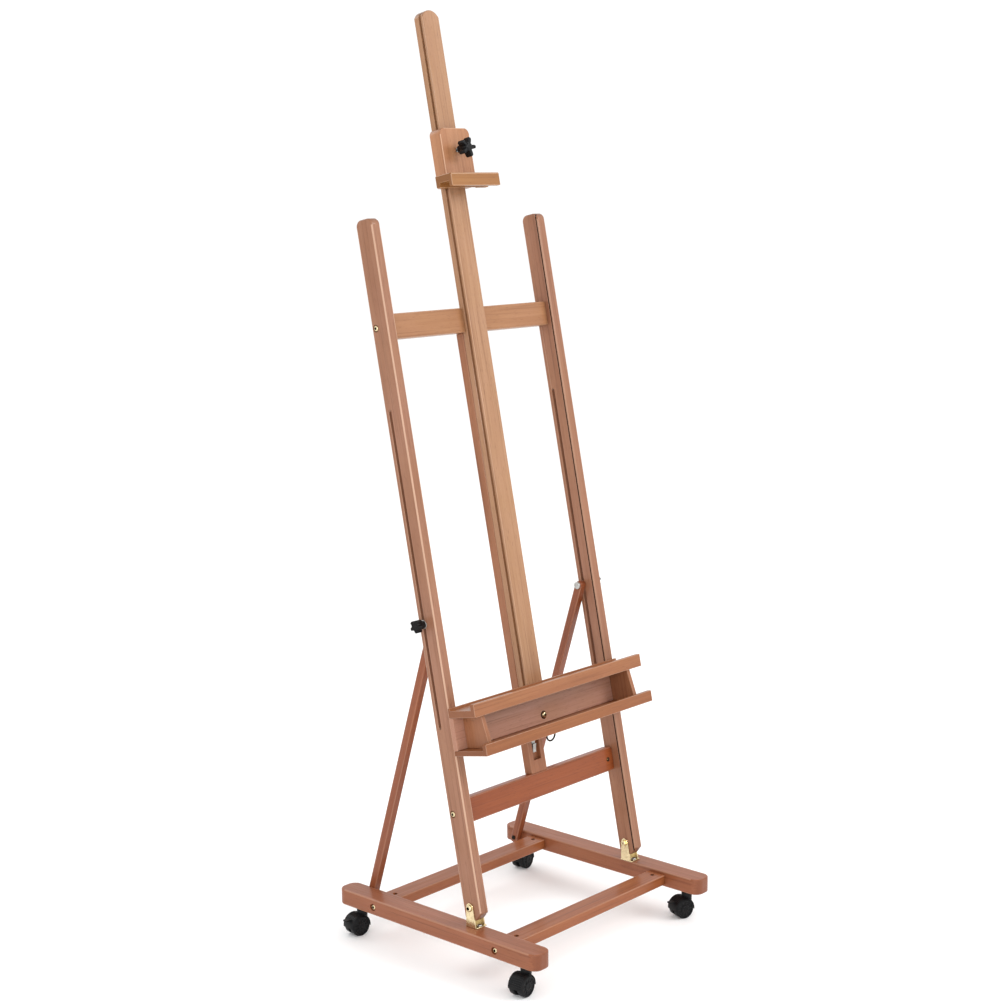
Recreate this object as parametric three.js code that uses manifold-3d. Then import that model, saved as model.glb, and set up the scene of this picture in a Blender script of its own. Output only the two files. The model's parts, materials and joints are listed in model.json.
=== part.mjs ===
// Wooden studio easel: a castored base, a leaning frame and a sliding mast with its tray.
// Millimetres, +Z up, +X to the easel's left-to-right as the painter sees it, front towards -Y.
// The origin is on the floor, under the middle of the base.
import * as THREE from 'three';
import { mergeVertices } from 'three/addons/utils/BufferGeometryUtils.js';
import Module from 'manifold-3d';

const wasm = await Module();
wasm.setup();

// Driving dimensions.
const clearance = 0.3;        // gap left between pieces that touch
const arris = 2;              // rounding of the timber's long edges

// base
const runnerLength = 557;
const runnerWidth = 50;
const runnerInner = 238;      // inner face of each runner, and of each upright
const runnerBottom = 61;
const runnerHeight = 34;
const runnerEndRadius = 19;
const crossbarWidth = 45;     // the base crossbars lie flat
const crossbarThickness = 22;
const barEndRadius = 6;       // the lower crossbar's rounded ends
const baseBarTop = 88;
const frontBarY = -169.5;
const rearBarY = 173.5;
const boltZ = baseBarTop - crossbarThickness / 2;
const boltRadius = 3;
const boltHole = 3.3;
const counterbore = 5.5;      // depth of the bolt recess in each runner
const counterboreRadius = 7.5;
const nutX = runnerInner - 17;
const nutHoleRadius = 5;      // the cross hole each barrel nut sits in
const through = 5;            // how far a cutting tool runs past the face it opens

// castors
const castorY = 231.5;
const wheelRadius = 21.5;
const wheelWidth = 13;
const wheelGap = 8;           // between the two wheels of a castor
const castorTrail = 14;       // swivel axis to axle
const hoodRadius = 23.8;
const stemRadius = 5;

// tilting frame: x across, y from the hinge towards the back, z up along the uprights
const leanDegrees = 11.4;
const hingeY = -81.3;
const hingeZ = 135.1;
const uprightThickness = 23;
const uprightFront = -27;
const uprightBack = 18;
const uprightTop = 1391;
const uprightBottom = -26;
const slotY = 5;
const slotLow = 363;
const slotHigh = 1010;
const slotWidth = 7;
const grooveY = -22;          // dark groove down each upright's inner face
const frameBoltY = 7.8;

const upperBarLow = 1149;
const upperBarHigh = 1200;
const upperBarFront = -11.3;
const lowerBarLow = 165;
const lowerBarHigh = 216;
const lowerBarFront = -3.5;
const frameBoltHeights = [
  (lowerBarLow + lowerBarHigh) / 2,
  (upperBarLow + upperBarHigh) / 2,
];

// rear post with its ratchet rack
const postHalf = 24.5;
const postFront = -2.6;
const channelHalf = 11.5;
const channelDepth = 9;
const channelLow = 243;
const toothPitch = 20;
const toothCount = 41;

// mast
const mastHalf = 24.5;
const mastFront = -27.7;
const mastBack = -3.2;
const mastLow = 311;
const mastTop = 1816.8;
const mastCrownRadius = 28;
const mastGrooveFront = -22.5;
const mastGrooveBack = -16;
const mastGrooveDepth = 6;

// tray
const trayHalf = 264.5;
const trayBack = -28;
const boardFront = -38.4;
const boardLow = 320;
const boardHigh = 386.4;
const ledgeFront = -101.4;
const ledgeHigh = 413.3;
const shelfFront = -117.5;
const shelfLow = 309.7;
const shelfHigh = 333;
const lipThickness = 10;
const dividerOuter = 236.6;
const dividerThickness = 10;
const trayBoltZ = 337;

// top clamp
const clampHalf = 43.5;
const clampFront = -44.4;
const clampBack = -13;
const clampLow = 1447;
const clampHigh = 1568;
const clampKnobZ = 1522;
const barHalf = 72.5;
const barFront = -83.6;
const barBack = -38;
const barLow = 1441;
const barHigh = 1468;
const clampScrewRadius = 4;

// struts
const lockZ = 577.3;          // where the lock bolt sits along the slot
const strutFootY = 231.5;
const strutFootZ = 78.4;
const strutWidth = 17.5;
const strutThickness = 17.2;
const strutEnd = 12;          // how far the strut runs past its screw, corners cut 4 x 5

// Materials.
function beech(colour = 0xc08a62) {
  return new THREE.MeshStandardMaterial({ color: colour, roughness: 0.55, metalness: 0 });
}

function blackPlastic() {
  return new THREE.MeshStandardMaterial({ color: 0x202023, roughness: 0.5, metalness: 0 });
}

function brass() {
  return new THREE.MeshStandardMaterial({ color: 0xc9a75a, roughness: 0.3, metalness: 1 });
}

function steel() {
  return new THREE.MeshStandardMaterial({ color: 0x9a9da1, roughness: 0.35, metalness: 1 });
}

// Solids.
function toSolid(geometry) {
  let plain = geometry.clone();
  plain.deleteAttribute('normal');
  plain.deleteAttribute('uv');
  plain = mergeVertices(plain, 1e-4);
  return new wasm.Manifold(new wasm.Mesh({
    numProp: 3,
    vertProperties: Float32Array.from(plain.attributes.position.array),
    triVerts: Uint32Array.from(plain.index.array),
  }));
}

function fromSolid(solid) {
  const mesh = solid.getMesh();
  const geometry = new THREE.BufferGeometry();
  geometry.setAttribute('position', new THREE.BufferAttribute(mesh.vertProperties, 3));
  geometry.setIndex(new THREE.BufferAttribute(mesh.triVerts, 1));
  geometry.computeVertexNormals();
  return geometry;
}

function cut(body, ...tools) {
  let solid = toSolid(body);
  for (const tool of tools) {
    solid = solid.subtract(toSolid(tool));
  }
  return fromSolid(solid);
}

function join(body, ...others) {
  let solid = toSolid(body);
  for (const other of others) {
    solid = solid.add(toSolid(other));
  }
  return fromSolid(solid);
}

function outline(points) {
  return new THREE.Shape(points.map(([x, y]) => new THREE.Vector2(x, y)));
}

// A rectangle from low to high corner with rounded corners.
function roundedRectangle(x0, y0, x1, y1, radius = arris) {
  const shape = new THREE.Shape();
  shape.moveTo(x0 + radius, y0);
  shape.lineTo(x1 - radius, y0);
  shape.absarc(x1 - radius, y0 + radius, radius, -Math.PI / 2, 0);
  shape.lineTo(x1, y1 - radius);
  shape.absarc(x1 - radius, y1 - radius, radius, 0, Math.PI / 2);
  shape.lineTo(x0 + radius, y1);
  shape.absarc(x0 + radius, y1 - radius, radius, Math.PI / 2, Math.PI);
  shape.lineTo(x0, y0 + radius);
  shape.absarc(x0 + radius, y0 + radius, radius, Math.PI, Math.PI * 1.5);
  return shape;
}

function extrude(shape, depth, segments = 3) {
  return new THREE.ExtrudeGeometry(shape, { depth, bevelEnabled: false, curveSegments: segments });
}

// A profile drawn in (x, y) and raised from z0 to z1.
function prismZ(shape, z0, z1, segments) {
  return extrude(shape, z1 - z0, segments).translate(0, 0, z0);
}

// A profile drawn in (y, z) and run from x0 to x1.
function prismX(shape, x0, x1, segments) {
  const basis = new THREE.Matrix4().makeBasis(
    new THREE.Vector3(0, 1, 0),
    new THREE.Vector3(0, 0, 1),
    new THREE.Vector3(1, 0, 0),
  );
  return extrude(shape, x1 - x0, segments).applyMatrix4(basis).translate(x0, 0, 0);
}

// A profile drawn in (x, z) and run from y0 to y1.
function prismY(shape, y0, y1, segments) {
  return extrude(shape, y1 - y0, segments).rotateX(Math.PI / 2).translate(0, y1, 0);
}

function box(x0, y0, z0, x1, y1, z1) {
  const geometry = new THREE.BoxGeometry(x1 - x0, y1 - y0, z1 - z0);
  return geometry.translate((x0 + x1) / 2, (y0 + y1) / 2, (z0 + z1) / 2);
}

function rodX(radius, x0, x1, y, z, sides = 16) {
  const geometry = new THREE.CylinderGeometry(radius, radius, x1 - x0, sides);
  return geometry.rotateZ(Math.PI / 2).translate((x0 + x1) / 2, y, z);
}

function rodY(radius, x, y0, y1, z, sides = 16) {
  const geometry = new THREE.CylinderGeometry(radius, radius, y1 - y0, sides);
  return geometry.translate(x, (y0 + y1) / 2, z);
}

function rodZ(radius, x, y, z0, z1, sides = 16) {
  const geometry = new THREE.CylinderGeometry(radius, radius, z1 - z0, sides);
  return geometry.rotateX(Math.PI / 2).translate(x, y, (z0 + z1) / 2);
}

// Both ends of a span on one side of the easel, in rising order.
function sideSpan(side, inner, outer) {
  return side > 0 ? [inner, outer] : [-outer, -inner];
}

function part(name, geometry, material) {
  const mesh = new THREE.Mesh(geometry, material);
  mesh.name = name;
  return mesh;
}

// A domed bolt along x with its head on the outer side.
function sideBolt(side, headRadius, headHeight, headAt, shankRadius, shankEnd, y, z) {
  const [h0, h1] = sideSpan(side, headAt, headAt + headHeight);
  const [s0, s1] = sideSpan(side, shankEnd, headAt + headHeight / 2);
  return join(rodX(headRadius, h0, h1, y, z, 16), rodX(shankRadius, s0, s1, y, z, 10));
}

// Base.

function runner(side) {
  const [x0, x1] = sideSpan(side, runnerInner, runnerInner + runnerWidth);
  const half = runnerLength / 2;
  const plan = roundedRectangle(x0, -half, x1, half, runnerEndRadius);
  const body = prismZ(plan, runnerBottom, runnerBottom + runnerHeight, 6);
  const outer = runnerInner + runnerWidth;
  const tools = [];
  for (const y of [frontBarY, rearBarY]) {
    const [b0, b1] = sideSpan(side, outer - counterbore, outer + through);
    const [h0, h1] = sideSpan(side, runnerInner - through, outer - counterbore + 1);
    tools.push(rodX(counterboreRadius, b0, b1, y, boltZ, 20), rodX(boltHole, h0, h1, y, boltZ, 12));
  }
  for (const y of [-castorY, castorY]) {
    const x = side * (runnerInner + runnerWidth / 2);
    tools.push(rodZ(stemRadius + clearance, x, y, runnerBottom - through, runnerBottom + 22));
  }
  return part(side > 0 ? 'runner_right' : 'runner_left', cut(body, ...tools), beech(0xb4795a));
}

function baseCrossbar(name, y) {
  const half = runnerInner - clearance;
  const section = roundedRectangle(
    y - crossbarWidth / 2, baseBarTop - crossbarThickness, y + crossbarWidth / 2, baseBarTop);
  const tools = [];
  for (const side of [-1, 1]) {
    const [h0, h1] = sideSpan(side, nutX, runnerInner + through);
    tools.push(rodX(boltHole, h0, h1, y, boltZ, 12));
    tools.push(rodZ(nutHoleRadius, side * nutX, y, baseBarTop - 17, baseBarTop + through));
  }
  return part(name, cut(prismX(section, -half, half, 2), ...tools), beech(0xb87d57));
}

function baseBolt(side, y, name) {
  const headAt = runnerInner + runnerWidth - counterbore + clearance;
  return part(name, sideBolt(side, 6.8, 3.5, headAt, boltRadius, nutX + 3, y, boltZ), brass());
}

// U-shaped plated bracket: a plate on the runner and an ear on either side of the upright.
const earThickness = 2.5;
const earRadius = 9;
const earFoot = 17;            // how far the ear runs forward at its foot
const plateTop = runnerBottom + runnerHeight + clearance + 2.5;
const tiltBoltRadius = 4;
const tiltNutLength = 5;
const bracketScrewY = hingeY - 15;

function bracket(side) {
  const innerEar = runnerInner - clearance - earThickness;
  const outerEar = runnerInner + uprightThickness + clearance;
  const [p0, p1] = sideSpan(side, innerEar, outerEar + earThickness);
  const plateLow = runnerBottom + runnerHeight + clearance;
  const plate = box(p0, hingeY - earFoot - 4, plateLow, p1, hingeY + earRadius + 1, plateTop);
  const ear = new THREE.Shape();
  ear.moveTo(hingeY - earFoot, plateLow + 1);
  ear.lineTo(hingeY + earRadius, plateLow + 1);
  ear.lineTo(hingeY + earRadius, hingeZ + 3);
  ear.absarc(hingeY, hingeZ + 1, earRadius, 0.2, Math.PI - 0.2);
  ear.lineTo(hingeY - earRadius, hingeZ + 3);
  const ears = [innerEar, outerEar].map((x) => {
    const [e0, e1] = sideSpan(side, x, x + earThickness);
    return prismX(ear, e0, e1, 10);
  });
  const [h0, h1] = sideSpan(side, innerEar - through, outerEar + earThickness + through);
  const screwX = side * (runnerInner + uprightThickness / 2);
  const body = cut(
    join(plate, ...ears),
    rodX(tiltBoltRadius + 0.1, h0, h1, hingeY, hingeZ),
    rodZ(2.4, screwX, bracketScrewY, plateLow - through, plateTop + through, 12),
  );
  return part(side > 0 ? 'bracket_right' : 'bracket_left', body, brass());
}

function bracketScrew(side) {
  const x = side * (runnerInner + uprightThickness / 2);
  const profile = [
    [0, 0], [4.8, 0], [4.2, 1.7], [2, 2.6], [0, 2.8],
  ].map(([r, z]) => new THREE.Vector2(r, z));
  const head = new THREE.LatheGeometry(profile, 16).rotateX(Math.PI / 2);
  head.translate(x, bracketScrewY, plateTop + clearance);
  const shank = rodZ(2, x, bracketScrewY, plateTop - 2.6, plateTop + clearance + 1, 12);
  return part(side > 0 ? 'bracket_screw_right' : 'bracket_screw_left', join(head, shank), steel());
}

// The tilt bolt fills both ears and carries the upright on its shank.
function tiltBolt(side) {
  const outside = runnerInner + uprightThickness + 2 * clearance + earThickness;
  const inside = runnerInner - 2 * clearance - earThickness;
  const [h0, h1] = sideSpan(side, outside, outside + 4);
  const [s0, s1] = sideSpan(side, inside - tiltNutLength, outside + 1);
  const [n0, n1] = sideSpan(side, inside - tiltNutLength, inside);
  const body = join(
    rodX(7.5, h0, h1, hingeY, hingeZ, 20),
    rodX(tiltBoltRadius, s0, s1, hingeY, hingeZ, 16),
    rodX(6.5, n0, n1, hingeY, hingeZ, 6),
  );
  return part(side > 0 ? 'tilt_bolt_right' : 'tilt_bolt_left', body, brass());
}

// Castors.
// Drawn about the swivel axis on the floor, with the axle along y and the wheels towards -x.
const hoodHalf = wheelGap / 2 + wheelWidth;
const brakeTip = -castorTrail - hoodRadius - 9;
const brakeRoot = -castorTrail - 18.6;   // clear of the wheels' rims
const brakePivot = -castorTrail - hoodRadius + 10;
const brakeZ = 36;            // height of the brake lever
const neckRadius = 11.5;

function castorHood(name, braked) {
  const shell = new THREE.Shape();
  shell.absarc(-castorTrail, wheelRadius, hoodRadius, -0.12, Math.PI + 0.12);
  const body = join(
    prismY(shell, -hoodHalf, hoodHalf, 14),
    rodZ(neckRadius, 0, 0, wheelRadius + 12, runnerBottom - clearance, 20),
    rodZ(stemRadius, 0, 0, wheelRadius + 12, runnerBottom + 20, 16),
  );
  const pocketRadius = wheelRadius + 0.8;
  const tools = [rodY(3.3, -castorTrail, -hoodHalf - through, hoodHalf + through, wheelRadius, 12)];
  for (const side of [-1, 1]) {
    const [y0, y1] = sideSpan(side, wheelGap / 2 - clearance, hoodHalf + 1);
    tools.push(rodY(pocketRadius, -castorTrail, y0, y1, wheelRadius, 28));
  }
  if (braked) {
    const notch = box(brakeTip - 0.3, -7.5, brakeZ - 2.7, brakePivot + 3, 7.5, brakeZ + 8);
    tools.push(notch);
  }
  return part(name, cut(body, ...tools), blackPlastic());
}

function castorWheels(name) {
  const tools = [];
  for (const side of [-1, 1]) {
    const [y0, y1] = sideSpan(side, wheelGap / 2, hoodHalf);
    tools.push(rodY(wheelRadius, -castorTrail, y0, y1, wheelRadius, 26));
  }
  const axle = rodY(3, -castorTrail, -wheelGap / 2 - 1, wheelGap / 2 + 1, wheelRadius, 12);
  return part(name, join(axle, ...tools), blackPlastic());
}

// Wide blade outside, narrow tongue running in between the two wheels.
function brakeLever(name) {
  const blade = roundedRectangle(brakeTip, -6.5, brakeRoot, 6.5, 3);
  const lever = prismZ(blade, brakeZ - 1, brakeZ + 2, 3);
  const tongue = box(brakeRoot - 2, -3, brakeZ - 1.5, brakePivot + 2, 3, brakeZ + 1);
  return part(name, join(lever, tongue), blackPlastic());
}

function castor(where, side, y, turnDegrees, braked) {
  const group = new THREE.Group();
  group.position.set(side * (runnerInner + runnerWidth / 2), y, 0);
  group.rotation.z = THREE.MathUtils.degToRad(turnDegrees);
  group.add(castorHood(`castor_hood_${where}`, braked));
  group.add(castorWheels(`castor_wheels_${where}`));
  if (braked) {
    group.add(brakeLever(`castor_brake_${where}`));
  }
  return group;
}

// Leaning frame.
function upright(side) {
  const heel = 9;
  const crown = 14;
  const side2d = new THREE.Shape();
  side2d.moveTo(uprightFront, -12.6);
  side2d.lineTo(uprightFront + 15, uprightBottom);
  side2d.lineTo(uprightBack - heel, uprightBottom);
  side2d.absarc(uprightBack - heel, uprightBottom + heel, heel, -Math.PI / 2, 0);
  side2d.lineTo(uprightBack, uprightTop - crown);
  side2d.absarc(uprightBack - crown, uprightTop - crown, crown, 0, Math.PI / 2);
  side2d.lineTo(uprightFront + crown, uprightTop);
  side2d.absarc(uprightFront + crown, uprightTop - crown, crown, Math.PI / 2, Math.PI);
  const [x0, x1] = sideSpan(side, runnerInner, runnerInner + uprightThickness);
  const body = prismX(side2d, x0, x1, 5);

  const [t0, t1] = sideSpan(side, runnerInner - through, runnerInner + uprightThickness + through);
  const [g0, g1] = sideSpan(side, runnerInner - through, runnerInner + 4);
  const outer = runnerInner + uprightThickness;
  const [c0, c1] = sideSpan(side, outer - 4, outer + through);
  const slot = roundedRectangle(
    slotY - slotWidth / 2, slotLow, slotY + slotWidth / 2, slotHigh, slotWidth / 2 - 0.01);
  const tools = [
    prismX(slot, t0, t1, 5),
    box(g0, grooveY - 1.6, uprightBottom - through, g1, grooveY + 1.6, uprightTop + through),
    rodX(tiltBoltRadius + 0.2, t0, t1, 0, 0),
  ];
  for (const z of frameBoltHeights) {
    tools.push(rodX(7.3, c0, c1, frameBoltY, z, 20), rodX(boltHole, t0, t1, frameBoltY, z, 12));
  }
  return part(side > 0 ? 'upright_right' : 'upright_left', cut(body, ...tools), beech());
}

function frameBolt(side, z, name) {
  const headAt = runnerInner + uprightThickness - 4 + clearance;
  return part(name, sideBolt(side, 6.7, 4.4, headAt, boltRadius, nutX + 3, frameBoltY, z), brass());
}

// Both frame crossbars; the upper one is notched for the mast, the lower one takes barrel nuts.
function upperCrossbar() {
  const half = runnerInner - clearance;
  const section = roundedRectangle(upperBarFront, upperBarLow, uprightBack, upperBarHigh);
  const notchHalf = mastHalf + 0.4;
  const notchBack = mastBack + 0.5;
  const tools = [box(
    -notchHalf, upperBarFront - through, upperBarLow - through,
    notchHalf, notchBack, upperBarHigh + through)];
  for (const side of [-1, 1]) {
    const [h0, h1] = sideSpan(side, nutX, runnerInner + through);
    tools.push(rodX(boltHole, h0, h1, frameBoltY, frameBoltHeights[1], 12));
  }
  return part('upper_crossbar', cut(prismX(section, -half, half, 2), ...tools), beech(0xbd8558));
}

function lowerCrossbar() {
  const half = runnerInner - clearance;
  const section = roundedRectangle(lowerBarFront, lowerBarLow, uprightBack, lowerBarHigh);
  const tools = [];
  for (const side of [-1, 1]) {
    const [h0, h1] = sideSpan(side, nutX, runnerInner + through);
    tools.push(rodX(boltHole, h0, h1, frameBoltY, frameBoltHeights[0], 12));
    tools.push(rodY(
      nutHoleRadius, side * nutX, lowerBarFront - through, frameBoltY + 6, frameBoltHeights[0]));
    // Each end has its corners rounded.
    const centreX = side * (half - barEndRadius);
    const [x0, x1] = sideSpan(side, half - barEndRadius, half + through);
    for (const [low, high, z] of [
      [lowerBarLow - through, lowerBarLow + barEndRadius, lowerBarLow + barEndRadius],
      [lowerBarHigh - barEndRadius, lowerBarHigh + through, lowerBarHigh - barEndRadius],
    ]) {
      const corner = box(x0, lowerBarFront - through, low, x1, uprightBack + through, high);
      tools.push(cut(corner, rodY(
        barEndRadius, centreX, lowerBarFront - 2 * through, uprightBack + 2 * through, z)));
    }
  }
  return part('lower_crossbar', cut(prismX(section, -half, half, 2), ...tools), beech(0xa86c46));
}

// The post stands on the lower crossbar and carries the rack in a channel down its front.
const postLow = lowerBarHigh + clearance;
const postHigh = upperBarLow - clearance;

function rearPost() {
  const plan = roundedRectangle(-postHalf, postFront, postHalf, uprightBack);
  const channelBack = postFront + channelDepth;
  const channel = box(
    -channelHalf, postFront - through, channelLow, channelHalf, channelBack, postHigh + through);
  return part('rear_post', cut(prismZ(plan, postLow, postHigh, 2), channel), beech(0xad7149));
}

// Saw-toothed strip: each tooth has a flat top edge for the pawl to rest on.
const rackBack = postFront + channelDepth - clearance;
const rackBase = rackBack - 3.2;
const rackTip = rackBase - 3.2;

function ratchetRack() {
  const low = channelLow + 15;
  const points = [[rackBack, low], [rackBack, low + toothCount * toothPitch]];
  for (let i = toothCount; i > 0; i -= 1) {
    const top = low + i * toothPitch;
    points.push([rackBase, top], [rackTip, top - 4], [rackTip, top - 6]);
    points.push([rackBase, top - toothPitch + 4]);
  }
  points.push([rackBase, low]);
  return part('ratchet_rack', prismX(outline(points), -5, 5), steel());
}

// Mast, pawl and tray.
const pawlY = -8.7;
const pawlZ = 334;
const pocketHalf = 9;

function mast() {
  const rise = mastCrownRadius - Math.sqrt(mastCrownRadius ** 2 - mastHalf ** 2);
  const angle = Math.asin(mastHalf / mastCrownRadius);
  const face = new THREE.Shape();
  face.moveTo(-mastHalf, mastLow);
  face.lineTo(mastHalf, mastLow);
  face.lineTo(mastHalf, mastTop - rise);
  face.absarc(0, mastTop - mastCrownRadius, mastCrownRadius, Math.PI / 2 - angle, Math.PI / 2 + angle);
  const body = prismY(face, mastFront, mastBack, 12);
  const tools = [
    box(-pocketHalf, pawlY - 4.5, mastLow - through, pocketHalf, mastBack + through, pawlZ + 7),
    rodX(2.9, 0, mastHalf + through, pawlY, pawlZ, 12),
    rodY(2.9, 0, mastFront - through, mastFront + 9, trayBoltZ, 12),
  ];
  for (const side of [-1, 1]) {
    const [x0, x1] = sideSpan(side, mastHalf - mastGrooveDepth, mastHalf + through);
    tools.push(box(x0, mastGrooveFront, mastLow - through, x1, mastGrooveBack, mastTop + through));
  }
  return part('mast', cut(body, ...tools), beech(0xc9946c));
}

// Pawl, cross shaft and side arm in one piece; its tip stands just clear of the rack.
const armX = 46;
const eyeZ = 297;

function ratchetPawl() {
  const tongue = outline([
    [pawlY - 3, pawlZ + 2], [pawlY + 3, pawlZ + 3], [rackTip - 0.6, pawlZ - 13],
    [rackTip - 0.6, pawlZ - 17], [pawlY - 2, pawlZ - 12],
  ]);
  const arm = roundedRectangle(pawlY - 4, eyeZ - 6, pawlY + 4, pawlZ + 4, 3.5);
  const body = join(
    prismX(tongue, -7, 7),
    rodX(2.5, -1, armX + 3, pawlY, pawlZ, 12),
    prismX(arm, armX, armX + 3.5, 4),
  );
  return part('ratchet_pawl', cut(body, rodX(2.6, armX - through, armX + 9, pawlY, eyeZ, 12)), steel());
}

// The ring hangs plumb from the arm's eye while the frame leans.
function pullRing() {
  const ringRadius = 13;
  const ring = new THREE.TorusGeometry(ringRadius, 1.9, 6, 20).rotateX(Math.PI / 2);
  ring.translate(0, 0, -ringRadius).rotateX(THREE.MathUtils.degToRad(leanDegrees));
  return part('pull_ring', ring.translate(armX + 1.75, pawlY, eyeZ), steel());
}

function trayLedge() {
  const backLip = 5;
  const floorLow = boardHigh + clearance;
  const floorHigh = 401;
  const section = outline([
    [ledgeFront, floorLow], [trayBack, floorLow], [trayBack, floorHigh + backLip],
    [trayBack - backLip, floorHigh + backLip], [trayBack - backLip, floorHigh],
    [ledgeFront + lipThickness, floorHigh], [ledgeFront + lipThickness, ledgeHigh],
    [ledgeFront, ledgeHigh],
  ]);
  return part('tray_ledge', prismX(section, -trayHalf, trayHalf), beech(0xb98258));
}

function trayBoard() {
  const section = roundedRectangle(boardFront, boardLow + clearance, trayBack, boardHigh, 1);
  const body = prismX(section, -trayHalf, trayHalf, 1);
  const hole = rodY(boltHole, 0, boardFront - through, trayBack + through, trayBoltZ, 12);
  return part('tray_board', cut(body, hole), beech(0xc79a7d));
}

function trayShelf() {
  const section = outline([
    [shelfFront, shelfLow], [trayBack, shelfLow], [trayBack, boardLow],
    [shelfFront + lipThickness, boardLow], [shelfFront + lipThickness, shelfHigh],
    [shelfFront, shelfHigh],
  ]);
  return part('tray_shelf', prismX(section, -trayHalf, trayHalf), beech(0xb57c52));
}

function trayDivider(side) {
  const section = outline([
    [boardFront - clearance, boardLow + clearance], [boardFront - clearance, boardHigh],
    [-89.6, boardHigh], [-100.8, boardLow + clearance],
  ]);
  const [x0, x1] = sideSpan(side, dividerOuter - dividerThickness, dividerOuter);
  return part(side > 0 ? 'tray_divider_right' : 'tray_divider_left', prismX(section, x0, x1), beech());
}

function trayBolt() {
  const profile = [
    [0, 0], [8.5, 0], [8, 1.6], [5.5, 3.6], [2.5, 4.6], [0, 4.8],
  ].map(([r, z]) => new THREE.Vector2(r, z));
  const head = new THREE.LatheGeometry(profile, 20).rotateZ(Math.PI);
  head.translate(0, boardFront - clearance, trayBoltZ);
  const shank = rodY(2.6, 0, boardFront - clearance - 1, mastFront + 8, trayBoltZ, 12);
  return part('tray_bolt', join(head, shank), steel());
}

// Top clamp.
function clampBlock() {
  const corner = 13;
  const face = new THREE.Shape();
  face.moveTo(-clampHalf, clampLow);
  face.lineTo(clampHalf, clampLow);
  face.absarc(clampHalf - corner, clampHigh - corner, corner, 0, Math.PI / 2);
  face.absarc(corner - clampHalf, clampHigh - corner, corner, Math.PI / 2, Math.PI);
  const body = prismY(face, clampFront, clampBack, 5);
  const channelFront = mastFront - 0.4;
  const tongueFront = mastGrooveFront + 0.5;
  const tongueBack = mastGrooveBack - 0.5;
  const mastHole = mastHalf + 0.4;
  const tongueHole = mastHalf - mastGrooveDepth + 1;
  return part('clamp_block', cut(
    body,
    box(-mastHole, channelFront, clampLow - through, mastHole, tongueFront, clampHigh + through),
    box(-tongueHole, channelFront, clampLow - through, tongueHole, clampBack + through, clampHigh + through),
    box(-mastHole, tongueBack, clampLow - through, mastHole, clampBack + through, clampHigh + through),
    rodY(clampScrewRadius + 0.2, 0, clampFront - through, mastFront + through, clampKnobZ),
    rodY(8, 0, channelFront - 3, mastFront + through, clampKnobZ, 20),
  ), beech(0xc48d66));
}

function clampShoe() {
  const y1 = mastFront - clearance;
  return part('clamp_shoe', rodY(7.4, 0, y1 - 2.2, y1, clampKnobZ, 20), blackPlastic());
}

// Bar that holds the top of a canvas: grooved underneath, with a lip at the front.
// It is housed round the front of the block.
function clampBar() {
  const grooveTop = barLow + 12;
  const section = outline([
    [barFront, barLow], [barFront + 9, barLow], [barFront + 9, grooveTop],
    [barBack - 11, grooveTop], [barBack - 11, barLow + 3], [barBack, barLow + 3],
    [barBack, barHigh], [barFront + 2, barHigh], [barFront, barHigh - 2],
  ]);
  const housingHalf = clampHalf + clearance;
  const housing = box(
    -housingHalf, clampFront - clearance, barLow - through,
    housingHalf, barBack + through, barHigh + through);
  return part('clamp_bar', cut(prismX(section, -barHalf, barHalf), housing), beech(0xb77f55));
}

// Lobed hand knob drawn in the plane of its lobes.
function lobedOutline(radius, lobes, depth) {
  const shape = new THREE.Shape();
  const steps = lobes * 6;
  for (let i = 0; i < steps; i += 1) {
    const angle = (i / steps) * 2 * Math.PI;
    const r = radius - depth * (0.5 - 0.5 * Math.cos(lobes * angle));
    const x = r * Math.cos(angle);
    const y = r * Math.sin(angle);
    if (i === 0) {
      shape.moveTo(x, y);
    } else {
      shape.lineTo(x, y);
    }
  }
  return shape;
}

function clampKnob() {
  const star = prismY(lobedOutline(20.5, 5, 7.5), -80, -63).translate(0, 0, clampKnobZ);
  return part('clamp_knob', join(
    star,
    rodY(9, 0, -64, clampFront - 6, clampKnobZ, 20),
    rodY(clampScrewRadius, 0, -64, mastFront - 3, clampKnobZ, 12),
  ), blackPlastic());
}

// Struts and their locks.
const lean = THREE.MathUtils.degToRad(leanDegrees);
const lockWorldY = hingeY + slotY * Math.cos(lean) + lockZ * Math.sin(lean);
const lockWorldZ = hingeZ - slotY * Math.sin(lean) + lockZ * Math.cos(lean);
const strutLength = Math.hypot(strutFootY - lockWorldY, lockWorldZ - strutFootZ);
const strutLean = Math.atan2(strutFootY - lockWorldY, lockWorldZ - strutFootZ);
const strutOuter = runnerInner - clearance;
const strutInner = strutOuter - strutThickness;
const lockBoltRadius = 3.2;

// Drawn hanging straight down from its lock bolt.
function strut(side) {
  const half = strutWidth / 2;
  const shape = new THREE.Shape();
  shape.absarc(0, 0, half, 0, Math.PI);
  shape.lineTo(-half, -strutLength - strutEnd + 4);
  shape.lineTo(-half + 5, -strutLength - strutEnd);
  shape.lineTo(half - 5, -strutLength - strutEnd);
  shape.lineTo(half, -strutLength - strutEnd + 4);
  const [x0, x1] = sideSpan(side, strutInner, strutOuter);
  const [t0, t1] = sideSpan(side, strutInner - through, strutOuter + through);
  const body = cut(
    prismX(shape, x0, x1, 10),
    rodX(lockBoltRadius + 0.2, t0, t1, 0, 0, 16),
    rodX(2.8, t0, t1, 0, -strutLength, 12),
  );
  return part(side > 0 ? 'strut_right' : 'strut_left', body, beech(0xb67a50));
}

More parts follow.
